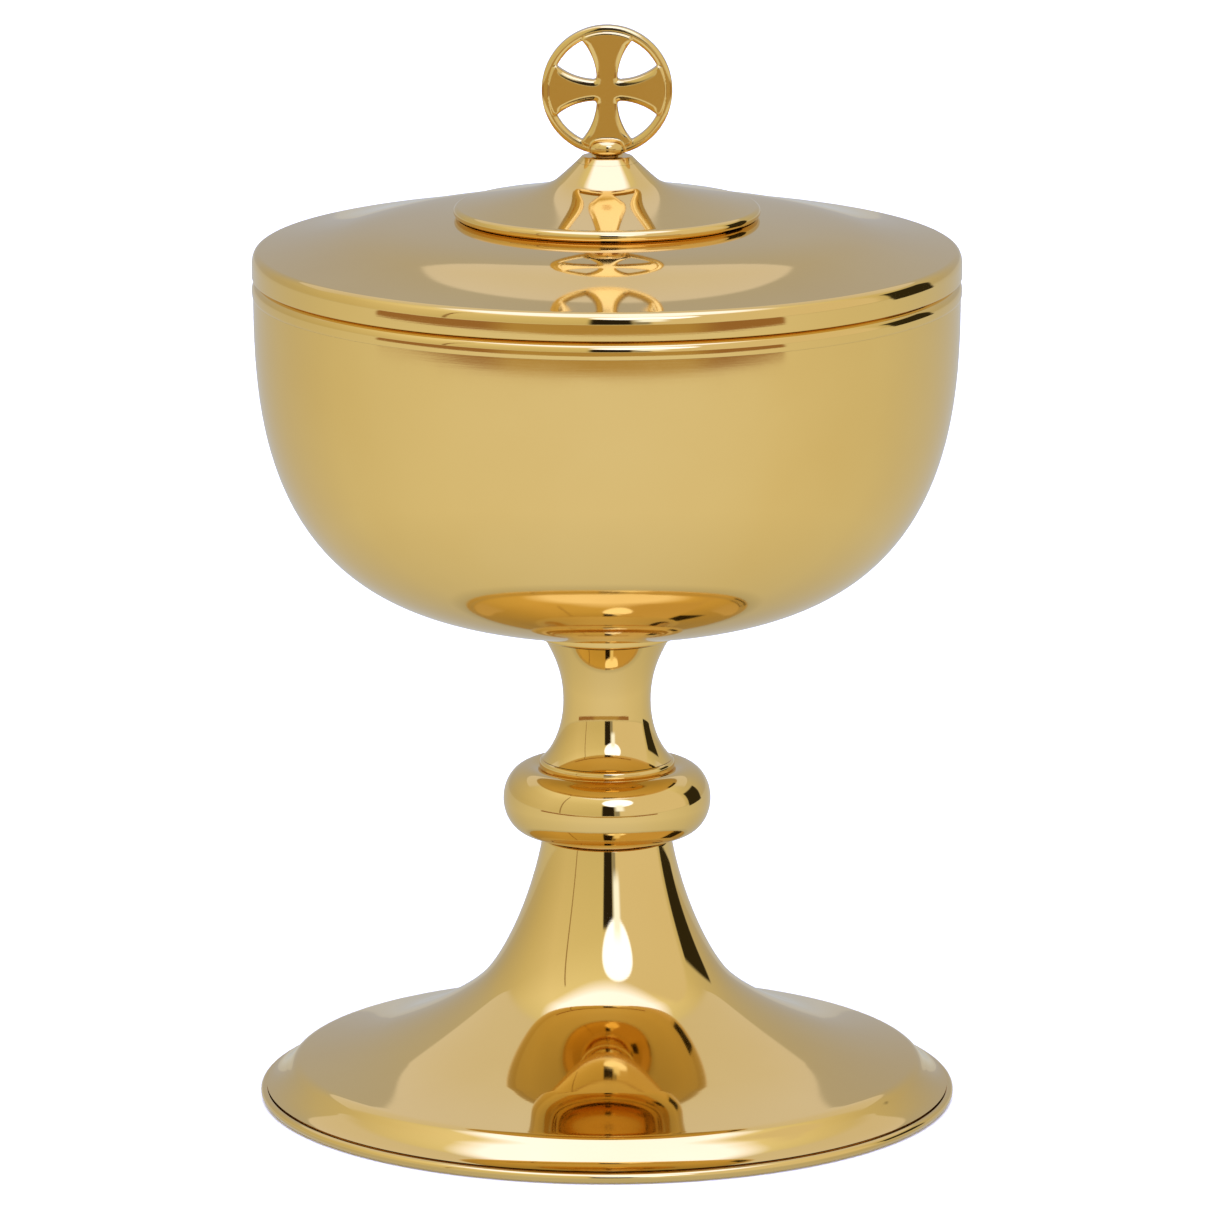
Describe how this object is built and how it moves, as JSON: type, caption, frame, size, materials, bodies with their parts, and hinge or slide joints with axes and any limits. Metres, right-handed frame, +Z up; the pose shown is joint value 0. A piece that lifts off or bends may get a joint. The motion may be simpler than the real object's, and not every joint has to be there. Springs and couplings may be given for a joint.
{
  "type": "ciborium",
  "caption": "Covered church cup of gilt brass: a deep round bowl on a knopped stem and spreading foot, with a lift-off lid that carries a ringed cross.",
  "frame": {"origin": "on the vertical axis, in the plane that the foot stands on", "axes": "+Z up along the axis of the vessel; the ring of the finial lies in the XZ plane, so -Y is the front"},
  "size_m": [0.13, 0.13, 0.2006],
  "materials": {
    "gilt_foot": "mirror-polished gold plate",
    "gilt_stem": "mirror-polished gold plate",
    "gilt_cup": "mirror-polished gold plate with faint spinning lines",
    "gilt_lid": "mirror-polished gold plate",
    "gilt_finial": "polished cast gold plate",
    "brass_hardware": "plain machined",
    "spring_steel": "bright zinc"
  },
  "bodies": {
    "base": {"foot_shell": "gilt_foot", "foot_edge_ring": "gilt_foot", "base_washer": "brass_hardware", "lock_washer": "spring_steel", "base_nut": "brass_hardware", "tie_rod": "brass_hardware", "lower_collar": "gilt_stem", "knop": "gilt_stem", "upper_collar": "gilt_stem", "neck": "gilt_stem", "cup_seat_collar": "gilt_stem", "cup_boss": "brass_hardware", "cup_shell": "gilt_cup", "cup_rim_ring": "gilt_cup"},
    "lid": {"lid_shell": "gilt_lid", "lid_flange": "gilt_lid", "lid_boss": "gilt_lid", "finial_collar": "gilt_finial", "finial_cross": "gilt_finial", "finial_stud": "brass_hardware", "finial_washer": "brass_hardware", "finial_nut": "brass_hardware"}
  },
  "joints": [
    {"name": "lid_lift", "type": "slide", "parent": "base", "child": "lid", "axis": [0, 0, 1], "range_m": [0, 0.08]}
  ]
}
